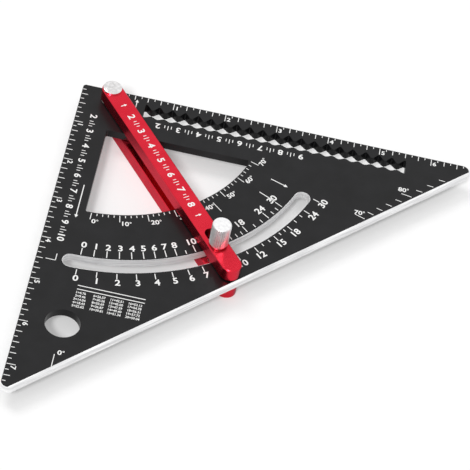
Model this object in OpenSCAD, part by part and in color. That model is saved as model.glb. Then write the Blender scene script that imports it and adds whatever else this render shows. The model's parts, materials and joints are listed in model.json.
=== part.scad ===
// Protractor square: a graduated right-angled plate with a fence arm that swings about a
// pivot near the square corner and is clamped by a thumb knob in an arc slot.
// X runs along the top leg, Y runs up the left leg and Z is up. The origin lies under the
// middle of the square that holds the plate, on the plane that the arm's underside rests on.
// Places on the plate are given as distances from its left leg and from its top leg.

/* [Plate] */
// Overall length of each leg of the triangle
leg = 190.5; // [182:0.5:230]
// Thickness of the plate
plate_t = 4.2; // [3:0.1:8]
// Radius of the two sharp tips
tip_r = 3.2; // [1:0.1:6]
// Radius of the square corner
corner_r = 1.5; // [0.5:0.1:3]
// Bevel along the upper rim of the long edge
edge_bevel = 0.8; // [0.2:0.1:1.5]
// Diameter of the hang hole
hang_d = 16; // [8:0.5:20]
// Centre of the hang hole, from the left leg
hang_x = 19.4; // [14:0.1:24]
// Centre of the hang hole, from the lower tip along the left leg
hang_from_tip = 41.2; // [36:0.1:55]

/* [Window] */
// Left edge of the window, from the left leg
window_x = 16.4; // [12:0.1:24]
// Top edge of the window, from the top leg
window_y = 26.9; // [18:0.1:40]
// Radius of the window's arc about the pivot
window_r = 74.6; // [60:0.1:85]
// Radius of the window's corners
window_corner_r = 1; // [0.5:0.1:4]

/* [Marking slot] */
// First notch, from the zero of the top scale
first_notch = 12.7; // [8:0.1:20]
// Distance between notches
notch_pitch = 6.35; // [4:0.05:7]
// Number of notches
notch_count = 21; // [8:1:22]
// Straight stretch of slot past the first and the last notch
notch_end = 0.7; // [0.3:0.1:2]
// Bottom of the notches on the far side, from the top leg
far_notch_y = 4.8; // [3.5:0.1:6]
// Depth of the pointed notches on the far side, at the upper face
far_notch_depth = 3; // [2:0.1:4]
// Lean of those notches, over the plate's thickness
notch_lean = 0.7; // [0.2:0.1:1.2]
// Clear way between the tips of the two sides
marking_gap = 4.2; // [3:0.1:6]
// Depth of the wavy notches on the near side
near_notch_depth = 1.3; // [0.5:0.1:2]
// Width of the flat at the bottom of a pointed notch
notch_flat = 0.6; // [0.2:0.1:1.2]

/* [Arc slot] */
// Radius of the slot's centre line about the pivot
slot_r = 105.9; // [98:0.1:109]
// Width of the slot
slot_w = 7.4; // [6.5:0.1:9]
// Arm setting at the first end of the slot, in degrees
arm_from = 0; // [0:0.5:20]
// Arm setting at the last end of the slot, in degrees
arm_to = 70; // [50:0.5:72]
// Room left between the stud and the end of the slot at a stop
stop_gap = 0.1; // [0.05:0.05:0.5]

/* [Pivot] */
// Centre of the pivot, from the left leg
pivot_x = 14.5; // [12:0.1:18]
// Centre of the pivot, from the top leg
pivot_y = 6.35; // [5.5:0.05:9]
// Diameter of the pivot post's shank
post_d = 6; // [5:0.1:7]
// Clearance of the post in its bores, on the radius
post_fit = 0.05; // [0.02:0.01:0.1]
// Diameter of the post's polished head
post_head_d = 9; // [8:0.1:9.6]
// Height of the rim of the post's head
post_rim_h = 0.8; // [0.4:0.1:2]
// Height of the crown above that rim
post_crown_h = 0.5; // [0.2:0.1:1]
// Diameter of the screw that closes the post from below
screw_d = 3; // [2:0.1:3.6]
// Length of the screw's thread inside the post
screw_grip = 8; // [4:0.5:12]
// Room above the end of the screw inside the post
screw_end_room = 1; // [0.3:0.1:2]
// Diameter of the screw's flat head
screw_head_d = 6; // [5:0.1:7]
// Width of the screw's driver slot
screw_slot_w = 0.8; // [0.5:0.1:1]
// Depth of the screw's driver slot
screw_slot_depth = 0.6; // [0.4:0.1:0.9]
// Height of the lower bar's land between the post and the screw's head
post_land = 1.6; // [1:0.1:2.5]
// Thickness of the slip washers between the bars and the plate
slip_t = 0.4; // [0.2:0.05:0.6]
// Diameter of the slip washers
slip_d = 9.2; // [8:0.1:9.6]

/* [Arm] */
// Setting of the arm, in degrees from the left leg
arm_angle = 37.7; // [5:0.1:65]
// Width of the two bars
bar_w = 9.8; // [9.7:0.1:11]
// Height of each bar
bar_h = 7; // [6:0.1:9]
// Length of the bars past the middle of the clamp stud
arm_past_stud = 17.4; // [12:0.1:29]
// Chamfer on the edges of the bars
bar_chamfer = 0.4; // [0.2:0.1:0.8]
// Width of the oblong hole for the stud in the upper bar
oblong_w = 5.8; // [5.4:0.1:7]
// Reach of the oblong hole from the stud towards the pivot
oblong_in = 9.8; // [4:0.1:14]
// Reach of the oblong hole from the stud towards the tip
oblong_out = 3.4; // [3:0.1:4.5]

/* [Clamp] */
// Diameter of the clamp stud
stud_d = 5; // [4:0.1:5.2]
// Clearance of the stud's thread in the knob, on the radius
thread_fit = 0.05; // [0.02:0.01:0.1]
// Length of stud inside the knob
thread_grip = 8; // [4:0.5:10]
// Side of the stud's square neck
neck_w = 5; // [4.8:0.1:5.6]
// Height of the stud's square neck
neck_h = 4.5; // [2:0.1:5]
// Clearance of the stud's neck and head in the lower bar
neck_fit = 0.05; // [0.02:0.01:0.2]
// Diameter of the stud's head
stud_head_d = 8.2; // [7.6:0.1:8.8]
// Height of the stud's head
stud_head_h = 1.6; // [1:0.1:2]
// Depth of the stud's head below the underside of the lower bar
stud_head_sink = 0.2; // [0.1:0.1:0.6]
// Diameter of the thumb knob over its knurl
knob_d = 9; // [8.4:0.1:14]
// Height of the thumb knob
knob_h = 12.7; // [11:0.1:20]
// Number of ridges in the knob's knurl
knurl_count = 36; // [20:1:48]
// Depth of the knurl
knurl_depth = 0.3; // [0.1:0.05:0.5]
// Height of the knob's smooth foot
knob_foot_h = 0.6; // [0.4:0.1:2]
// Step from the root of the knurl in to the foot
knob_foot_step = 0.2; // [0.1:0.1:0.4]
// Chamfer round the knob's top
knob_chamfer = 0.5; // [0.2:0.1:1]
// Room above the end of the stud inside the knob
knob_end_room = 1; // [0.3:0.1:2]
// Thickness of the washer under the knob
knob_washer_t = 0.8; // [0.4:0.1:2]
// Step from the knob's edge in to the washer's edge
knob_washer_step = 0.9; // [0:0.1:1]

/* [Hidden] */
$fn = 96;
// Overlap that lets a cutter pass clean through a face
eps = 0.5;

// Reach of a corner's circle past the window's arc, so that the two cross and don't only touch
arc_cross = 0.05;
// Step from the walls of the marking slot to those of its notches, so that they don't fall together
notch_step = 0.15;

// Heights of the stack, from the underside of the lower bar
plate_z = bar_h + slip_t;
plate_top = plate_z + plate_t;
upper_z = plate_top + slip_t;
upper_top = upper_z + bar_h;
knob_z = upper_top + knob_washer_t;

// The legs carry on to a point past the rounded tips
sharp_leg = leg + sqrt(2) * tip_r;
tip_centre = sharp_leg - tip_r / tan(22.5);
hang_y = leg - hang_from_tip;

// The zero of the top scale is where the arm's fence side lies at a setting of 0 degrees
index_x = pivot_x + bar_w / 2;

// The stud stops short of the slot's ends, at the arm's two end settings
end_angle = asin(((slot_w - stud_d) / 2 - stop_gap) / slot_r);
slot_from = arm_from + end_angle;
slot_to = arm_to - end_angle;

// Marking slot: heights below the top leg, and its two ends
far_tip_y = far_notch_y + far_notch_depth;
far_wave_y = far_notch_y + notch_lean + notch_step;
near_tip_y = far_tip_y + marking_gap;
near_valley_y = near_tip_y + near_notch_depth;
marking_x0 = index_x + first_notch - notch_end;
marking_x1 = index_x + first_notch + (notch_count - 1) * notch_pitch + notch_end;

// Pivot post and its screw, which share the hollow of the post
post_bore_d = post_d + 2 * post_fit;
screw_head_h = (screw_head_d - screw_d) / 2;
post_end_z = screw_head_h + post_land;
crown_r = (pow(post_head_d / 2, 2) + pow(post_crown_h, 2)) / (2 * post_crown_h);

// Clamp stud, and the length of the bars that it holds together
stud_seat_z = stud_head_sink + stud_head_h;
stud_top = knob_z + thread_grip;
arm_reach = slot_r + arm_past_stud;

function dir(a) = [cos(a), sin(a)];
function on_plate(x, y) = [x, -y];
pivot = on_plate(pivot_x, pivot_y);

// Puts children, drawn from the corner of the plate, into the frame of the whole tool
module from_corner() {
  translate([-leg / 2, leg / 2, 0]) children();
}

// Puts children, drawn along +X from the pivot, at the arm's setting
module on_arm() {
  from_corner() translate(pivot) rotate(arm_angle - 90) children();
}

// Waste at a convex corner, outside a circle of radius r that touches both of its sides
module corner_waste(centre, r, a0, a1) {
  difference() {
    polygon([
      centre, centre + 4 * r * dir(a0), centre + 6 * r * dir((a0 + a1) / 2), centre + 4 * r * dir(a1)
    ]);
    translate(centre) circle(r);
  }
}

module plate_outline() {
  difference() {
    polygon([[0, 0], [0, -sharp_leg], [sharp_leg, 0]]);
    corner_waste(on_plate(corner_r, corner_r), corner_r, 90, 180);
    corner_waste(on_plate(tip_r, tip_centre), tip_r, 180, 315);
    corner_waste(on_plate(tip_centre, tip_r), tip_r, -45, 90);
  }
}

// Window: a square corner closed by an arc about the pivot, with its corners rounded
module window_outline() {
  r = window_corner_r;
  inner_r = window_r - r + arc_cross;
  left = window_x + r;
  top = window_y + r;
  right = pivot_x + sqrt(pow(inner_r, 2) - pow(top - pivot_y, 2));
  low = pivot_y + sqrt(pow(inner_r, 2) - pow(left - pivot_x, 2));
  right_a = -asin((top - pivot_y) / inner_r);
  low_a = -acos((left - pivot_x) / inner_r);
  difference() {
    intersection() {
      translate(pivot) circle(window_r, $fn = 240);
      translate(on_plate(window_x, window_y + 2 * window_r)) square(2 * window_r);
    }
    corner_waste(on_plate(left, top), r, 90, 180);
    corner_waste(on_plate(right, top), r, right_a, 90);
    corner_waste(on_plate(left, low), r, -180, low_a);
  }
}

// Arc slot with round ends, in which the clamp stud travels
module arc_slot_outline() {
  inner_r = slot_r - slot_w / 2;
  outer_r = slot_r + slot_w / 2;
  translate(pivot) {
    intersection() {
      difference() {
        circle(outer_r, $fn = 360);
        circle(inner_r, $fn = 360);
      }
      polygon([
        [0, 0],
        2 * outer_r * dir(slot_from - 90),
        3 * outer_r * dir((slot_from + slot_to) / 2 - 90),
        2 * outer_r * dir(slot_to - 90)
      ]);
    }
    for (a = [slot_from, slot_to]) translate(slot_r * dir(a - 90)) circle(d = slot_w);
  }
}

// A side of the marking slot that waves from a crest at each notch to a tip halfway between notches
function wave(crest_y, tip_y) = let (steps = 6) [
  for (i = [0 : (notch_count - 1) * steps]) [
    index_x + first_notch + i * notch_pitch / steps,
    -tip_y + (tip_y - crest_y) * (1 + cos(360 * i / steps)) / 2
  ]
];

// Marking slot: a wave on either side, deeper on the far side
module marking_slot_outline() {
  near_side = wave(near_valley_y, near_tip_y);
  polygon(concat(
    [[marking_x0, -far_wave_y]], wave(far_wave_y, far_tip_y), [[marking_x1, -far_wave_y]],
    [[marking_x1, -near_valley_y]],
    [for (i = [len(near_side) - 1 : -1 : 0]) near_side[i]],
    [[marking_x0, -near_valley_y]]
  ));
}

// Pointed notches of the far side, which lean in from the upper face and run out into its wave
module notch_comb() {
  half = notch_flat / 2;
  middle = notch_pitch / 2;
  depth = far_notch_depth + notch_step;
  x0 = marking_x0 + notch_step;
  x1 = marking_x1 - notch_step;
  translate([0, -far_notch_y, plate_top]) rotate([-atan(notch_lean / plate_t), 0, 0])
    linear_extrude(3 * plate_t, center = true) polygon(concat(
      [[x0, 0]],
      [
        for (i = [0 : notch_count - 2]) let (x = index_x + first_notch + i * notch_pitch) each [
          [x + half, 0], [x + middle - half, -depth],
          [x + middle + half, -depth], [x + notch_pitch - half, 0]
        ]
      ],
      [[x1, 0], [x1, -depth - eps], [x0, -depth - eps]]
    ));
}

module through_plate() {
  translate([0, 0, plate_z - eps]) linear_extrude(plate_t + 2 * eps) children();
}

module square_plate() color("#2c2c2e") from_corner() difference() {
  translate([0, 0, plate_z]) linear_extrude(plate_t) plate_outline();
  through_plate() window_outline();
  through_plate() arc_slot_outline();
  through_plate() marking_slot_outline();
  notch_comb();
  through_plate() translate(on_plate(hang_x, hang_y)) circle(d = hang_d);
  through_plate() translate(pivot) circle(d = post_bore_d);
  translate([sharp_leg / 2, -sharp_leg / 2, plate_top]) rotate([0, 0, 45]) rotate([90, 0, 90])
    linear_extrude(2 * leg, center = true)
      polygon([[-eps, -edge_bevel - eps], [edge_bevel + eps, eps], [-eps, eps]]);
}

// A bar with round ends and chamfered edges, from the pivot out along +X
module bar_blank() {
  w = bar_w / 2;
  c = bar_chamfer;
  half_section = [[0, 0], [w - c, 0], [w, c], [w, bar_h - c], [w - c, bar_h], [0, bar_h]];
  run = arm_reach - w;
  rotate([90, 0, 90]) linear_extrude(run) {
    polygon(half_section);
    mirror([1, 0]) polygon(half_section);
  }
  for (x = [0, run]) translate([x, 0, 0]) rotate_extrude() polygon(half_section);
}

// Oblong hole round the stud, longer towards the pivot
module oblong_outline() {
  from_x = oblong_w / 2 - oblong_in;
  to_x = oblong_out - oblong_w / 2;
  for (x = [from_x, to_x]) translate([x, 0]) circle(d = oblong_w);
  translate([from_x, -oblong_w / 2]) square([to_x - from_x, oblong_w]);
}

module upper_arm_bar() color("#d8203c") on_arm() translate([0, 0, upper_z]) difference() {
  bar_blank();
  translate([0, 0, -eps]) cylinder(d = post_bore_d, h = bar_h + 2 * eps);
  translate([slot_r, 0, -eps]) linear_extrude(bar_h + 2 * eps) oblong_outline();
}

module lower_arm_bar() color("#d8203c") on_arm() difference() {
  bar_blank();
  translate([0, 0, post_end_z]) cylinder(d = post_bore_d, h = bar_h);
  translate([0, 0, -eps]) cylinder(d = screw_d + 2 * post_fit, h = bar_h);
  translate([0, 0, -eps]) cylinder(d1 = screw_head_d + 2 * eps, d2 = screw_d, h = screw_head_h + eps);
  translate([slot_r, 0, -eps]) cylinder(d = stud_head_d + 2 * neck_fit, h = stud_seat_z + eps);
  translate([slot_r, 0, -eps]) linear_extrude(bar_h + 2 * eps) square(neck_w + 2 * neck_fit, center = true);
}

// Hollow post with a crowned head, closed from below by the flat-headed screw
module pivot_post() color("#e2e2e4") on_arm() difference() {
  union() {
    translate([0, 0, post_end_z]) cylinder(d = post_d, h = upper_top - post_end_z + post_rim_h / 2);
    translate([0, 0, upper_top]) intersection() {
      cylinder(d = post_head_d, h = post_rim_h + post_crown_h);
      translate([0, 0, post_rim_h + post_crown_h - crown_r]) sphere(crown_r);
    }
  }
  translate([0, 0, post_end_z - eps])
    cylinder(d = screw_d + 2 * post_fit, h = screw_grip + screw_end_room + eps);
}

module pivot_screw() color("#c9c9cc") on_arm() difference() {
  union() {
    cylinder(d1 = screw_head_d, d2 = screw_d, h = screw_head_h);
    cylinder(d = screw_d, h = post_end_z + screw_grip);
  }
  translate([-screw_head_d, -screw_slot_w / 2, -eps])
    cube([2 * screw_head_d, screw_slot_w, screw_slot_depth + eps]);
}

module slip_washer(z) {
  on_arm() translate([0, 0, z]) difference() {
    cylinder(d = slip_d, h = slip_t);
    translate([0, 0, -eps]) cylinder(d = post_bore_d, h = slip_t + 2 * eps);
  }
}

module upper_slip_washer() color("#e8e6dc") slip_washer(plate_top);

module lower_slip_washer() color("#e8e6dc") slip_washer(bar_h);

// Stud with a sunk round head and a square neck that keeps it from turning
module clamp_stud() color("#c9c9cc") on_arm() translate([slot_r, 0, 0]) {
  translate([0, 0, stud_head_sink]) cylinder(d = stud_head_d, h = stud_head_h);
  translate([-neck_w / 2, -neck_w / 2, stud_head_sink]) cube([neck_w, neck_w, stud_head_h + neck_h]);
  translate([0, 0, stud_head_sink]) cylinder(d = stud_d, h = stud_top - stud_head_sink);
}

module knob_washer() color("#d8d8da") on_arm() translate([slot_r, 0, upper_top]) difference() {
  cylinder(d = knob_d - 2 * knob_washer_step, h = knob_washer_t);
  translate([0, 0, -eps]) cylinder(d = stud_d + 2 * thread_fit, h = knob_washer_t + 2 * eps);
}

// Straight knurl: ridges and valleys in turn round a circle
function knurl_points() = [
  for (i = [0 : 2 * knurl_count - 1])
    (knob_d / 2 - (i % 2) * knurl_depth) * dir(180 * i / knurl_count)
];

module thumb_knob() color("#dededf") on_arm() translate([slot_r, 0, knob_z]) difference() {
  r = knob_d / 2;
  union() {
    cylinder(r = r - knurl_depth - knob_foot_step, h = knob_foot_h + eps);
    intersection() {
      translate([0, 0, knob_foot_h]) linear_extrude(knob_h - knob_foot_h) polygon(knurl_points());
      rotate_extrude() polygon([
        [0, 0], [r + eps, 0], [r + eps, knob_h - knob_chamfer - eps], [r - knob_chamfer, knob_h], [0, knob_h]
      ]);
    }
  }
  translate([0, 0, -eps]) cylinder(d = stud_d + 2 * thread_fit, h = thread_grip + knob_end_room + eps);
}

square_plate();
upper_arm_bar();
lower_arm_bar();
pivot_post();
pivot_screw();
upper_slip_washer();
lower_slip_washer();
clamp_stud();
knob_washer();
thumb_knob();
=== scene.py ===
"""Looks of the protractor square: finishes of its solids, printed scales, floor, light and camera."""

import functools
import json
import math

import bmesh
import bpy
from mathutils import Matrix, Vector


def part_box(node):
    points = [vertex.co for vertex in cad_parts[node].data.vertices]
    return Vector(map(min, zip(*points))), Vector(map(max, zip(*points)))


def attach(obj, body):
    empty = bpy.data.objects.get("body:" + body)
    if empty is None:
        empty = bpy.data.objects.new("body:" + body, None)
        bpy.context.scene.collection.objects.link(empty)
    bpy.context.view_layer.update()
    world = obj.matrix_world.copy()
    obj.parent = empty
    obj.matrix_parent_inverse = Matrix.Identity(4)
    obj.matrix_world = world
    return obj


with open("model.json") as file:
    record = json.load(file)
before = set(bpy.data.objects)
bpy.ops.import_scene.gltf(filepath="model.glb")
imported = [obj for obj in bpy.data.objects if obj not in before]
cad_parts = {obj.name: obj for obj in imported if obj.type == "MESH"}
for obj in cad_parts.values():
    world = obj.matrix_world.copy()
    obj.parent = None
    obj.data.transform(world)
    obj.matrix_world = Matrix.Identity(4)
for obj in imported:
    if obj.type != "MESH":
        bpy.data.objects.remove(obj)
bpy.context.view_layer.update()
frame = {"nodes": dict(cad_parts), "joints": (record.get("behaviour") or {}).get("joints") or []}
nodes = frame["nodes"]

MM = 0.001
INCH = 25.4

# Places on the plate are in millimetres from its square corner, X right and Y up, on its upper face
plate_low, plate_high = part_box("square_plate")
CORNER = Vector((plate_low.x, plate_high.y, plate_high.z))
arm_swing = next(j for j in frame["joints"] if j["name"] == "arm_swing")
PIVOT = ((Vector(arm_swing["pos_m"]) - CORNER) / MM).to_2d()

# The arm's setting is in degrees from the left leg
SETTING = -arm_swing["range_deg"][0]
ARM_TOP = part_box("upper_arm_bar")[1].z
BAR_W = 9.8

# Radius of the window's arc about the pivot
WINDOW_R = 74.6

# Arc slot: its middle line's radius about the pivot, its width, and the settings of its round ends
SLOT_R = 105.9
SLOT_W = 7.4
SLOT_SPAN = (0.6, 69.4)

# Distance from the corner to where the line of the long edge crosses the lines of the legs
LONG_EDGE = 195.0

# Zero of the top scale, where the arm's fence side lies at a setting of 0 degrees
TOP_ZERO = PIVOT.x + BAR_W / 2


# Finishes

# The part of a noise's values that is spread over the whole range of a colour or a roughness
NOISE_SPAN = (0.3, 0.7)
GRAIN_STRENGTH = 0.4


def new_material(name, metallic, specular=0.5, edge=(1, 1, 1)):
    """A plain material. The edge tint holds its reflection back where it is seen at a slant."""
    material = bpy.data.materials.new(name)
    material.use_nodes = True
    shader = material.node_tree.nodes["Principled BSDF"]
    shader.inputs["Metallic"].default_value = metallic
    shader.inputs["Specular IOR Level"].default_value = specular
    shader.inputs["Specular Tint"].default_value = (*edge, 1)
    return material, shader


def noise(material, size_mm, stretch, detail):
    """Noise in the piece's own coordinates, with features of about size_mm, finer along a larger stretch."""
    tree = material.node_tree
    coords = tree.nodes.new("ShaderNodeTexCoord")
    mapping = tree.nodes.new("ShaderNodeMapping")
    mapping.inputs["Scale"].default_value = stretch
    texture = tree.nodes.new("ShaderNodeTexNoise")
    texture.inputs["Scale"].default_value = 1 / (size_mm * MM)
    texture.inputs["Detail"].default_value = detail
    tree.links.new(coords.outputs["Object"], mapping.inputs["Vector"])
    tree.links.new(mapping.outputs["Vector"], texture.inputs["Vector"])
    return texture.outputs["Fac"]


def colour_from(material, shader, fac, low, high):
    tree = material.node_tree
    ramp = tree.nodes.new("ShaderNodeValToRGB")
    for element, position, colour in zip(ramp.color_ramp.elements, NOISE_SPAN, (low, high)):
        element.position = position
        element.color = (*colour, 1)
    tree.links.new(fac, ramp.inputs["Fac"])
    tree.links.new(ramp.outputs["Color"], shader.inputs["Base Color"])


def roughness_from(material, shader, fac, low, high):
    tree = material.node_tree
    remap = tree.nodes.new("ShaderNodeMapRange")
    remap.inputs["From Min"].default_value = NOISE_SPAN[0]
    remap.inputs["From Max"].default_value = NOISE_SPAN[1]
    remap.inputs["To Min"].default_value = low
    remap.inputs["To Max"].default_value = high
    tree.links.new(fac, remap.inputs["Value"])
    tree.links.new(remap.outputs["Result"], shader.inputs["Roughness"])


def bump_from(material, shader, fac, height_mm):
    tree = material.node_tree
    bump = tree.nodes.new("ShaderNodeBump")
    bump.inputs["Distance"].default_value = height_mm * MM
    bump.inputs["Strength"].default_value = GRAIN_STRENGTH
    tree.links.new(fac, bump.inputs["Height"])
    tree.links.new(bump.outputs["Normal"], shader.inputs["Normal"])


def finish(
    name, low, high, metallic, rough, mottle_mm, grain_mm, grain_height_mm,
    stretch=(1, 1, 1), specular=0.5, edge=(1, 1, 1)
):
    """A finish whose colour varies slowly, with a fine grain in its gloss and height."""
    material, shader = new_material(name, metallic, specular, edge)
    mottle = noise(material, mottle_mm, stretch, detail=3.0)
    grain = noise(material, grain_mm, stretch, detail=2.0)
    colour_from(material, shader, mottle, low, high)
    roughness_from(material, shader, grain, *rough)
    bump_from(material, shader, grain, grain_height_mm)
    return material


black_anodised = finish(
    "black_anodised", low=(0.004, 0.004, 0.0045), high=(0.008, 0.008, 0.009), metallic=0.0,
    rough=(0.28, 0.36), mottle_mm=9, grain_mm=0.12, grain_height_mm=0.002, specular=0.24
)
red_anodised = finish(
    "red_anodised", low=(0.64, 0.022, 0.041), high=(0.70, 0.029, 0.050), metallic=1.0,
    rough=(0.24, 0.30), mottle_mm=8, grain_mm=0.12, grain_height_mm=0.001, edge=(0.40, 0.62, 0.65)
)
bare_aluminium = finish(
    "bare_aluminium", low=(0.70, 0.70, 0.71), high=(0.97, 0.97, 0.97), metallic=1.0,
    rough=(0.55, 0.72), mottle_mm=0.7, grain_mm=0.25, grain_height_mm=0.006, stretch=(0.04, 0.04, 1)
)
polished_steel = finish(
    "polished_steel", low=(0.62, 0.61, 0.61), high=(0.90, 0.89, 0.89), metallic=1.0,
    rough=(0.06, 0.16), mottle_mm=1.8, grain_mm=0.2, grain_height_mm=0.001
)
plain_steel = finish(
    "plain_steel", low=(0.58, 0.58, 0.59), high=(0.68, 0.68, 0.69), metallic=1.0,
    rough=(0.28, 0.40), mottle_mm=2, grain_mm=0.15, grain_height_mm=0.004
)
knurled_steel = finish(
    "knurled_steel", low=(0.74, 0.74, 0.75), high=(0.88, 0.88, 0.88), metallic=1.0,
    rough=(0.34, 0.48), mottle_mm=1.2, grain_mm=0.12, grain_height_mm=0.004
)
nylon = finish(
    "nylon", low=(0.74, 0.72, 0.66), high=(0.80, 0.79, 0.74), metallic=0.0,
    rough=(0.5, 0.6), mottle_mm=2, grain_mm=0.2, grain_height_mm=0.004
)
white_print = finish(
    "white_print", low=(0.86, 0.86, 0.85), high=(0.92, 0.92, 0.91), metallic=0.0,
    rough=(0.45, 0.6), mottle_mm=1.2, grain_mm=0.1, grain_height_mm=0.002, specular=0.3
)

for node, material in {
    "square_plate": black_anodised,
    "upper_arm_bar": red_anodised,
    "lower_arm_bar": red_anodised,
    "pivot_post": polished_steel,
    "pivot_screw": plain_steel,
    "upper_slip_washer": nylon,
    "lower_slip_washer": nylon,
    "clamp_stud": plain_steel,
    "knob_washer": plain_steel,
    "thumb_knob": knurled_steel,
}.items():
    nodes[node].data.materials.clear()
    nodes[node].data.materials.append(material)


# Milled edges of the plate

# A face whose normal has a larger Z than this isn't an upright wall
UPRIGHT = 0.2
# Share of the bevel's normal that points out over the long edge, at least
BEVEL_LEAN = 0.6
# How far from an edge of the plate the middle of its bevel and of its wall may lie
BEVEL_REACH = 2.0
WALL_REACH = 2.2
# Room round the arc slot in which its walls are looked for, across it and in degrees past its ends
SLOT_ROOM = 0.3
SLOT_END_ROOM = 3.6


def is_milled(polygon):
    """The outer edges, the long edge's bevel and the walls of the arc slot were cut after anodising."""
    place = (polygon.center - CORNER) / MM
    normal = polygon.normal
    from_long_edge = (LONG_EDGE - place.x + place.y) / math.sqrt(2)
    if abs(normal.z) > UPRIGHT:
        outward = Vector((1, -1, 0)).normalized()
        return from_long_edge < BEVEL_REACH and normal.dot(outward) > BEVEL_LEAN
    arm = place.to_2d() - PIVOT
    angle = math.degrees(math.atan2(arm.x, -arm.y))
    first, last = SLOT_SPAN
    beside_slot = abs(arm.length - SLOT_R) < SLOT_W / 2 + SLOT_ROOM
    in_slot = beside_slot and first - SLOT_END_ROOM < angle < last + SLOT_END_ROOM
    return in_slot or min(place.x, -place.y, from_long_edge) < WALL_REACH


nodes["square_plate"].data.materials.append(bare_aluminium)
for polygon in nodes["square_plate"].data.polygons:
    polygon.material_index = int(is_milled(polygon))


# Printed marks: thin closed solids, set a little into the face that carries them

INK_TOP = 0.02
INK_SINK = 0.03
LINE_W = 0.36
HEAVY_LINE_W = 0.45
ARROW_HEAD = 1.8

# Added boldness of the numbers, as a share of the font's size, and their width against the font's
BOLDNESS = 0.022
NUMBER_STRETCH = 1.12

# The ring that stands for a degree sign, in shares of the number's height
DEGREE_GAP = 0.26
DEGREE_RISE = 0.34
DEGREE_OUTER_R = 0.19
DEGREE_INNER_R = 0.09
DEGREE_SHIFT = -0.2
RING_STEPS = 20


@functools.lru_cache(maxsize=None)
def glyphs(string):
    """A string in the built-in font as points of a thin solid, centred, and the faces on them."""
    curve = bpy.data.curves.new("glyphs", "FONT")
    curve.body = string
    curve.extrude = 0.5
    curve.offset = BOLDNESS
    curve.resolution_u = 3
    holder = bpy.data.objects.new("glyphs", curve)
    bpy.context.scene.collection.objects.link(holder)
    depsgraph = bpy.context.evaluated_depsgraph_get()
    mesh = bpy.data.meshes.new_from_object(holder.evaluated_get(depsgraph))
    solid = bmesh.new()
    solid.from_mesh(mesh)
    bmesh.ops.remove_doubles(solid, verts=solid.verts, dist=1e-5)
    bpy.data.objects.remove(holder)
    bpy.data.curves.remove(curve)
    bpy.data.meshes.remove(mesh)
    solid.verts.index_update()
    points = [v.co.copy() for v in solid.verts]
    faces = [[v.index for v in f.verts] for f in solid.faces]
    solid.free()
    middle = (min(p.x for p in points) + max(p.x for p in points)) / 2
    return [Vector((p.x - middle, p.y, p.z)) for p in points], faces


GLYPH_H = max(p.y for p in glyphs("1")[0])


class Print:
    """Marks on one flat face, drawn in millimetres from an origin on it. Turns are in degrees."""

    def __init__(self, name, body, origin, turn=0.0):
        self.name = name
        self.body = body
        turned = Matrix.Rotation(math.radians(turn), 4, "Z")
        self.place = Matrix.Translation(origin) @ turned @ Matrix.Scale(MM, 4)
        self.solid = bmesh.new()

    def bridge(self, outer, inner=None):
        """Stands an outline up as a prism, or the band between two outlines of as many points."""
        rows = [[self.solid.verts.new((*p, z)) for p in outer] for z in (-INK_SINK, INK_TOP)]
        if inner is None:
            for row in rows:
                self.solid.faces.new(row)
        else:
            rows += [[self.solid.verts.new((*p, z)) for p in inner] for z in (INK_TOP, -INK_SINK)]
            rows.append(rows[0])
        for a, b in zip(rows, rows[1:]):
            for i in range(len(a)):
                self.solid.faces.new((a[i - 1], a[i], b[i], b[i - 1]))

    def line(self, start, end, width=LINE_W):
        start, end = Vector(start), Vector(end)
        side = (end - start).orthogonal().normalized() * width / 2
        self.bridge([start - side, end - side, end + side, start + side])

    def arrow(self, tail, tip, head=ARROW_HEAD):
        tail, tip = Vector(tail), Vector(tip)
        ahead = (tip - tail).normalized()
        half_line = ahead.orthogonal() * HEAVY_LINE_W / 2
        half_head = ahead.orthogonal() * head / 2
        neck = tip - ahead * head
        self.bridge([
            tail - half_line, neck - half_line, neck - half_head, tip,
            neck + half_head, neck + half_line, tail + half_line,
        ])

    def ring(self, at, outer, inner):
        turns = [math.tau * i / RING_STEPS for i in range(RING_STEPS)]
        rim = [Vector((math.cos(a), math.sin(a))) for a in turns]
        self.bridge([at + outer * p for p in rim], [at + inner * p for p in rim])

    def text(self, string, at, height, turn=0.0, stretch=NUMBER_STRETCH):
        """Plain numbers, centred at a place. A degree sign at their end is drawn as a ring."""
        place = Matrix.Translation((*at, 0)) @ Matrix.Rotation(math.radians(turn), 4, "Z")
        with_ring = string.endswith("°")
        points, faces = glyphs(string.rstrip("°"))
        shift = DEGREE_SHIFT * height if with_ring else 0.0
        size = height / GLYPH_H
        verts = []
        for p in points:
            z = INK_TOP if p.z > 0 else -INK_SINK
            spot = Vector((p.x * size * stretch + shift, (p.y - GLYPH_H / 2) * size, z))
            verts.append(self.solid.verts.new(place @ spot))
        for face in faces:
            self.solid.faces.new([verts[i] for i in face])
        if with_ring:
            right = max(p.x for p in points) * size * stretch + shift
            middle = place @ Vector((right + DEGREE_GAP * height, DEGREE_RISE * height, 0))
            self.ring(middle.to_2d(), DEGREE_OUTER_R * height, DEGREE_INNER_R * height)

    def done(self, material=white_print, slot="white_print"):
        bmesh.ops.recalc_face_normals(self.solid, faces=self.solid.faces)
        mesh = bpy.data.meshes.new(self.name)
        self.solid.to_mesh(mesh)
        self.solid.free()
        mesh.transform(self.place)
        mesh.materials.append(material)
        piece = bpy.data.objects.new(self.name, mesh)
        bpy.context.scene.collection.objects.link(piece)
        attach(piece, self.body)


def on_square(name):
    return Print(name, "square", CORNER)


def along(angle):
    """From the pivot out along the arm at a setting."""
    a = math.radians(angle)
    return Vector((math.sin(a), -math.cos(a)))


def across(angle):
    """From the arm towards its fence side at a setting."""
    a = math.radians(angle)
    return Vector((math.cos(a), math.sin(a)))


def on_fence(angle, r, beside=0.0):
    """A place beside the arm's fence side, which the degree scales are read against."""
    return PIVOT + along(angle) * r + across(angle) * (BAR_W / 2 + beside)


# Inch scales along the two legs

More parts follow.
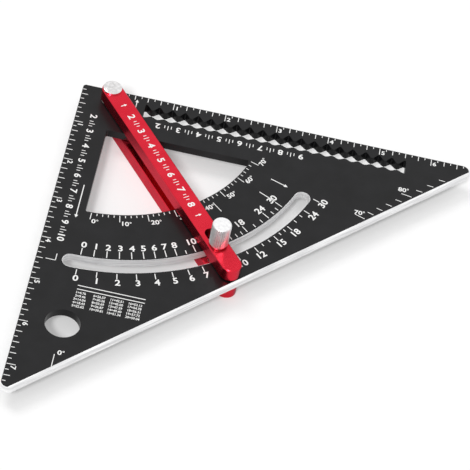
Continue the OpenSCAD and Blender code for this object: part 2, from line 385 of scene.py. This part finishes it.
EIGHTH = INCH / 8
EDGE_GAP = 0.25
INCH_NUMBER_H = 2.4
# From an inch's tick to the middle of its number
INCH_NUMBER_PAST = 1.7


def tick_length(eighths, short, quarter, whole):
    if eighths % 8 == 0:
        return whole
    return quarter if eighths % 2 == 0 else short


def left_leg_scale():
    number_x = 3.6
    scale = on_square("left_leg_scale")
    for i in range(1, 60):
        length = tick_length(i, short=1.9, quarter=3.2, whole=4.4)
        scale.line((EDGE_GAP, -i * EIGHTH), (length, -i * EIGHTH))
    for i in range(1, 8):
        scale.text(str(i), (number_x, -INCH * i - INCH_NUMBER_PAST), INCH_NUMBER_H, -90)
    scale.done()


def top_leg_scale():
    number_y = -2.9
    arrow_x = 27
    scale = on_square("top_leg_scale")
    for i in range(1, 54):
        x = TOP_ZERO + i * EIGHTH
        scale.line((x, -EDGE_GAP), (x, -tick_length(i, short=1.5, quarter=3.0, whole=4.4)))
    for i in range(1, 7):
        scale.text(str(i), (TOP_ZERO + INCH * i + INCH_NUMBER_PAST, number_y), INCH_NUMBER_H)
    scale.arrow((arrow_x, -8), (arrow_x, -2.7))
    scale.done()


left_leg_scale()
top_leg_scale()


# Degree scales beside the window and along the long edge

DEGREE_NUMBER_H = 2.5


def window_scale():
    """Every second degree from 0 to 70, with a number at every ten and a guide line by the middle."""
    tick_gap = 0.3
    ten, two = 4.3, 1.7
    number_r = 79.6
    scale = on_square("window_scale")
    for angle in range(0, 71, 2):
        reach = ten if angle % 10 == 0 else two
        scale.line(on_fence(angle, WINDOW_R + tick_gap), on_fence(angle, WINDOW_R + reach))
    for angle in range(0, 71, 10):
        beside = 3.2 if angle else 2.3
        scale.text(f"{angle}°", on_fence(angle, number_r, beside), DEGREE_NUMBER_H, angle)
    scale.line((73, -58.7), (77.7, -63))
    scale.done()


def long_edge_scale():
    """The zero mark near the lower tip, and every second degree from 70 to 86 near the other."""
    edge_inset = 2.4
    ten, two = 5.2, 3.0
    scale = on_square("long_edge_scale")
    scale.line((TOP_ZERO, -167.3), (TOP_ZERO, -174.4))
    for angle in range(70, 87, 2):
        start, step = on_fence(angle, 0), along(angle)
        reach = (LONG_EDGE - edge_inset - start.x + start.y) / (step.x - step.y)
        length = ten if angle % 10 == 0 else two
        scale.line(start + step * (reach - length), start + step * reach)
    for string, place in (("0°", (21.9, -165.9)), ("70°", (141.3, -45.1)), ("80°", (160.3, -24.3))):
        scale.text(string, place, DEGREE_NUMBER_H)
    scale.done()


window_scale()
long_edge_scale()


# Slope scales on both sides of the arc slot

SLOPE_LINE_W = 0.42
SLOPE_NUMBER_H = 3.3
SLOPE_NUMBER_BESIDE = 0.4


def slope_angle(rise, run):
    return math.degrees(math.atan2(rise, run))


def slope_scale(name, run, numbers, ticks, number_r, near, far):
    """Each number is the rise over a fixed run. The ticks between are half as long, beside the slot."""
    scale = on_square(name)
    middle = (near + far) / 2
    half = (middle, far) if number_r < SLOT_R else (near, middle)
    for rise in numbers:
        angle = slope_angle(rise, run)
        scale.line(on_fence(angle, near), on_fence(angle, far), SLOPE_LINE_W)
        scale.text(str(rise), on_fence(angle, number_r, SLOPE_NUMBER_BESIDE), SLOPE_NUMBER_H, angle)
    for rise in ticks:
        angle = slope_angle(rise, run)
        scale.line(on_fence(angle, half[0]), on_fence(angle, half[1]), SLOPE_LINE_W)
    scale.done()


slope_scale(
    "inner_slot_scale", run=17, numbers=[*range(9), 10, 12, 15, 18, 24, 30],
    ticks=[9, 11, 13, 14, 16, 17, 20, 22, 26, 28], number_r=94.9, near=97.2, far=101.2
)
slope_scale(
    "outer_slot_scale", run=12, numbers=[*range(11), 12, 15, 18, 24, 30],
    ticks=[11, 13, 14, 16, 17, 20, 22], number_r=115.5, near=110.4, far=113.6
)


# A small table of slopes and their angles

TABLE_X = (21.7, 52.7)
TABLE_LINES_Y = (-125.8, -128.0)
TABLE_COLUMNS_X = (24, 32.4, 40.4, 48.8)
TABLE_ROWS = 5
TABLE_FIRST_ROW_Y = -129.9
TABLE_ROW_STEP = 2.0
TABLE_NUMBER_H = 1.3
TABLE_STRETCH = 0.92
TABLE_RUN = 12


def slope_table():
    table = on_square("slope_table")
    left, right = TABLE_X
    for y in TABLE_LINES_Y:
        table.line((left, y), (right, y), HEAVY_LINE_W)
    for i in range(TABLE_ROWS * len(TABLE_COLUMNS_X)):
        column, row = divmod(i, TABLE_ROWS)
        place = (TABLE_COLUMNS_X[column], TABLE_FIRST_ROW_Y - TABLE_ROW_STEP * row)
        entry = f"{i + 1}={slope_angle(i + 1, TABLE_RUN):.2f}"
        table.text(entry, place, TABLE_NUMBER_H, stretch=TABLE_STRETCH)
    table.done()


slope_table()


# Centimetre scales and plain arrows

CM = 10
HALF_CM = 5
# Ticks between two numbers, from the first of them
CM_TICKS = (3.4, HALF_CM, 6.6)
CM_NUMBER_H = 3.2
ARM_NUMBER_H = 3.4
ARM_ARROW_HEAD = 1.4


def centimetres(scale, numbers, place, level, height, turn, short, long):
    """Numbers at a level beside the scale's line, with two short ticks and a long one after each."""
    for number in numbers:
        scale.text(str(number), place(CM * number, level), height, turn)
    for number in numbers[:-1]:
        for step in CM_TICKS:
            start, end = long if step == HALF_CM else short
            at = CM * number + step
            scale.line(place(at, start), place(at, end))


def left_centimetre_scale():
    def down_the_leg(distance, level):
        return level, -distance

    arrow_x = 12.8
    corner_mark = ((4.5, -114), (9, -114), (9, -110))
    scale = on_square("left_centimetre_scale")
    centimetres(
        scale, range(2, 11), down_the_leg, level=8.75, height=CM_NUMBER_H, turn=-90,
        short=(7.4, 9.2), long=(7.4, 10.2)
    )
    scale.arrow((arrow_x, -65), (arrow_x, -86))
    for start, end in zip(corner_mark, corner_mark[1:]):
        scale.line(start, end)
    scale.done()


def top_centimetre_scale():
    """Also carries the two arrows that point at the inner slot scale."""
    def along_the_leg(distance, level):
        return TOP_ZERO + distance, level

    arrow_from, arrow_to = 88, 97
    scale = on_square("top_centimetre_scale")
    centimetres(
        scale, range(2, 10), along_the_leg, level=-17.2, height=CM_NUMBER_H, turn=180,
        short=(-15.8, -17.6), long=(-15.8, -18.6)
    )
    for angle in (63.5, 70.5):
        scale.arrow(PIVOT + along(angle) * arrow_from, PIVOT + along(angle) * arrow_to)
    scale.done()


def arm_centimetre_scale():
    """On the upper bar, from the pivot out along it, between two arrows across it."""
    def along_the_bar(distance, level):
        return distance, level

    arrow_reach = 1.6
    pivot_on_arm = Vector((*(CORNER.to_2d() + PIVOT * MM), ARM_TOP))
    scale = Print("arm_centimetre_scale", "arm", pivot_on_arm, SETTING - 90)
    centimetres(
        scale, range(2, 9), along_the_bar, level=0, height=ARM_NUMBER_H, turn=0,
        short=(0.8, -0.8), long=(1.4, -1.4)
    )
    for x in (12, 87):
        scale.arrow((x, -arrow_reach), (x, arrow_reach), ARM_ARROW_HEAD)
    scale.done()


left_centimetre_scale()
top_centimetre_scale()
arm_centimetre_scale()


# Bright rim round the arc slot on the plate's upper face: bare metal where the slot's cutter chamfered it,
# drawn as a flat band that is a painted highlight standing in for the light the chamfer's edge catches

HIGHLIGHT_RIM_GAP = 0.02
HIGHLIGHT_RIM_W = 0.12
SLOT_STEPS = 60
SLOT_END_STEPS = 12


def slot_path(half_width):
    """Points round the arc slot at a distance from its middle line."""
    first, last = SLOT_SPAN
    settings = [first + (last - first) * i / SLOT_STEPS for i in range(SLOT_STEPS + 1)]
    turns = [180 * i / SLOT_END_STEPS for i in range(1, SLOT_END_STEPS)]
    points = [PIVOT + along(a) * (SLOT_R + half_width) for a in settings]
    points += [PIVOT + along(last) * SLOT_R + half_width * along(last + t) for t in turns]
    points += [PIVOT + along(a) * (SLOT_R - half_width) for a in reversed(settings)]
    points += [PIVOT + along(first) * SLOT_R + half_width * along(first + 180 + t) for t in turns]
    return points


# A flat band of bare aluminium round the slot: the chamfered rim's edge highlight, painted on the upper face
rim = on_square("slot_rim_highlight")
rim.bridge(slot_path(SLOT_W / 2 + HIGHLIGHT_RIM_GAP + HIGHLIGHT_RIM_W), slot_path(SLOT_W / 2 + HIGHLIGHT_RIM_GAP))
rim.done(bare_aluminium, "bare_aluminium")


# Floor, light and camera

# Sizes and places here are in metres
FLOOR_SIZE = 40
FLOOR_GAP = 0.00005
FLOOR_COLOUR = (0.97, 0.97, 0.97)
# Share of the floor that is white by itself to the eye
FLOOR_WHITE = 0.3

# The camera's place and two of its directions, at the photograph's viewing angle
CAMERA_PLACE = (-0.021292, -0.739615, 0.837016)
CAMERA_FORWARD = (0.010805, 0.676858, -0.736035)
CAMERA_RIGHT = (0.977451, 0.148089, 0.150532)
SENSOR_MM = 36
LENS_MM = 186
CLIP_END = 100


def when_seen(tree, seen, other):
    """A value for rays that show something to the eye, straight or reflected, and another for the rest."""
    rays = tree.nodes.new("ShaderNodeLightPath")
    shown = rays.outputs["Is Camera Ray"]
    for kind in ("Is Glossy Ray", "Is Transmission Ray"):
        either = tree.nodes.new("ShaderNodeMath")
        either.operation = "MAXIMUM"
        tree.links.new(shown, either.inputs[0])
        tree.links.new(rays.outputs[kind], either.inputs[1])
        shown = either.outputs["Value"]
    value = tree.nodes.new("ShaderNodeMapRange")
    value.inputs["To Min"].default_value = other
    value.inputs["To Max"].default_value = seen
    tree.links.new(shown, value.inputs["Value"])
    return value.outputs["Result"]


def light_world():
    world = bpy.data.worlds.new("studio")
    world.use_nodes = True
    bpy.context.scene.world = world
    tree = world.node_tree
    background = tree.nodes["Background"]
    background.inputs["Color"].default_value = (1, 1, 1, 1)
    tree.links.new(when_seen(tree, seen=1.0, other=0.5), background.inputs["Strength"])


def floor_material():
    material, shader = new_material("floor", metallic=0.0, specular=0.0)
    shader.inputs["Base Color"].default_value = (*FLOOR_COLOUR, 1)
    shader.inputs["Roughness"].default_value = 1.0
    tree = material.node_tree
    white = tree.nodes.new("ShaderNodeEmission")
    mix = tree.nodes.new("ShaderNodeMixShader")
    tree.links.new(when_seen(tree, seen=FLOOR_WHITE, other=0.0), mix.inputs["Fac"])
    tree.links.new(shader.outputs["BSDF"], mix.inputs[1])
    tree.links.new(white.outputs["Emission"], mix.inputs[2])
    tree.links.new(mix.outputs["Shader"], tree.nodes["Material Output"].inputs["Surface"])
    return material


def place_floor():
    """A pale floor that keeps a soft shadow, just below the arm's underside."""
    solid = bmesh.new()
    bmesh.ops.create_grid(solid, x_segments=1, y_segments=1, size=FLOOR_SIZE)
    mesh = bpy.data.meshes.new("floor")
    solid.to_mesh(mesh)
    solid.free()
    mesh.materials.append(floor_material())
    floor = bpy.data.objects.new("floor", mesh)
    floor.location.z = -FLOOR_GAP
    bpy.context.scene.collection.objects.link(floor)


def place_lamp(name, place, energy, spread):
    """A distant lamp that shines from a place towards the origin, as wide as some degrees of sky."""
    lamp = bpy.data.lights.new(name, "SUN")
    lamp.angle = math.radians(spread)
    lamp.energy = energy
    holder = bpy.data.objects.new(name, lamp)
    holder.location = place
    holder.rotation_euler = (-Vector(place)).to_track_quat("-Z", "Y").to_euler()
    bpy.context.scene.collection.objects.link(holder)


def place_camera():
    data = bpy.data.cameras.new("camera")
    data.sensor_fit = "HORIZONTAL"
    data.sensor_width = SENSOR_MM
    data.lens = LENS_MM
    data.clip_end = CLIP_END
    camera = bpy.data.objects.new("camera", data)
    bpy.context.scene.collection.objects.link(camera)
    forward = Vector(CAMERA_FORWARD).normalized()
    right = Vector(CAMERA_RIGHT).normalized()
    turn = Matrix((right, right.cross(forward), -forward)).transposed()
    camera.matrix_world = Matrix.Translation(CAMERA_PLACE) @ turn.to_4x4()
    bpy.context.scene.camera = camera


light_world()
place_floor()
place_lamp("front", place=(-0.25, -0.9, 1.0), energy=1.5, spread=10)
place_lamp("rear", place=(-0.5, 0.4, 1.0), energy=0.8, spread=25)
place_camera()
bpy.context.scene.view_settings.view_transform = "Standard"
